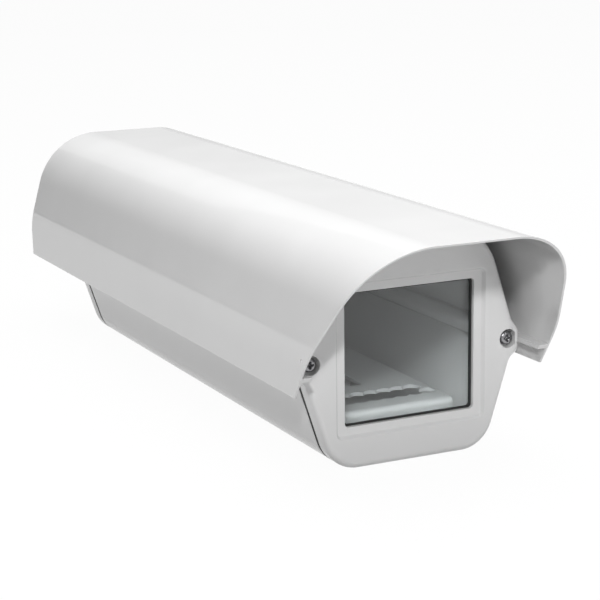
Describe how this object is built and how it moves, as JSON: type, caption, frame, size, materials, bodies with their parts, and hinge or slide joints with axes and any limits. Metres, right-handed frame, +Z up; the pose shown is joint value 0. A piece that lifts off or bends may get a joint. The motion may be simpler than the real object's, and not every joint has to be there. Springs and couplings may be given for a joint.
{
  "type": "security camera housing",
  "caption": "Outdoor camera housing: extruded body with glazed front bezel, gasketed rear cap with cable glands, sliding hooded sunshade and slotted camera tray.",
  "frame": {"origin": "on the flat underside, at the centre of the four bracket holes", "axes": "+Y runs from the front window to the rear cap along the housing's length, +Z is up, +X is to the right seen from the front camera side looking along +Y"},
  "size_m": [0.15, 0.4864, 0.1308],
  "materials": {
    "white_paint": "gloss powder coat, near white",
    "gasket_rubber": "matt black",
    "seal_rubber": "matt black",
    "window_glass": "clear float glass",
    "plain_aluminium": "mill finish sheet",
    "screw_steel": "stainless, turned",
    "nylon_white": "natural nylon",
    "gland_nylon": "moulded black nylon",
    "earth_brass": "turned brass"
  },
  "bodies": {
    "housing": {"body_shell": "white_paint", "front_gasket": "gasket_rubber", "front_bezel": "white_paint", "window_seal": "seal_rubber", "window_glass": "window_glass", "window_retainer": "plain_aluminium", "retainer_screws": "screw_steel", "bezel_screws": "screw_steel", "bezel_spring_washers": "screw_steel", "rear_gasket": "gasket_rubber", "rear_cap": "white_paint", "rear_cap_screws": "screw_steel", "rear_spring_washers": "screw_steel", "shade_lock_screws": "screw_steel", "camera_tray": "plain_aluminium", "tray_screws": "screw_steel", "tray_nuts": "screw_steel", "bracket_plate": "plain_aluminium", "bracket_plate_screws": "screw_steel", "gland_body_left": "gland_nylon", "gland_body_right": "gland_nylon", "gland_seal_left": "seal_rubber", "gland_seal_right": "seal_rubber", "gland_cap_nut_left": "gland_nylon", "gland_cap_nut_right": "gland_nylon", "gland_locknuts": "gland_nylon", "gland_face_washers": "seal_rubber", "blanking_plug": "gland_nylon", "earth_screw": "earth_brass", "earth_washer": "earth_brass"},
    "sunshade": {"sunshade": "white_paint"},
    "camera_bush": {"camera_bush": "nylon_white", "camera_washer": "gasket_rubber"},
    "camera_screw": {"camera_screw": "screw_steel"}
  },
  "joints": [
    {"name": "shade_slide", "type": "slide", "parent": "housing", "child": "sunshade", "axis": [0, 1, 0], "range_m": [-0.03, 0.03]},
    {"name": "camera_bush_slide", "type": "slide", "parent": "housing", "child": "camera_bush", "axis": [0, 1, 0], "range_m": [-0.085, 0.085]},
    {"name": "camera_screw_turn", "type": "hinge", "parent": "camera_bush", "child": "camera_screw", "pos_m": [0, -0.024, 0.0187], "axis": [0, 0, 1], "continuous": true}
  ]
}
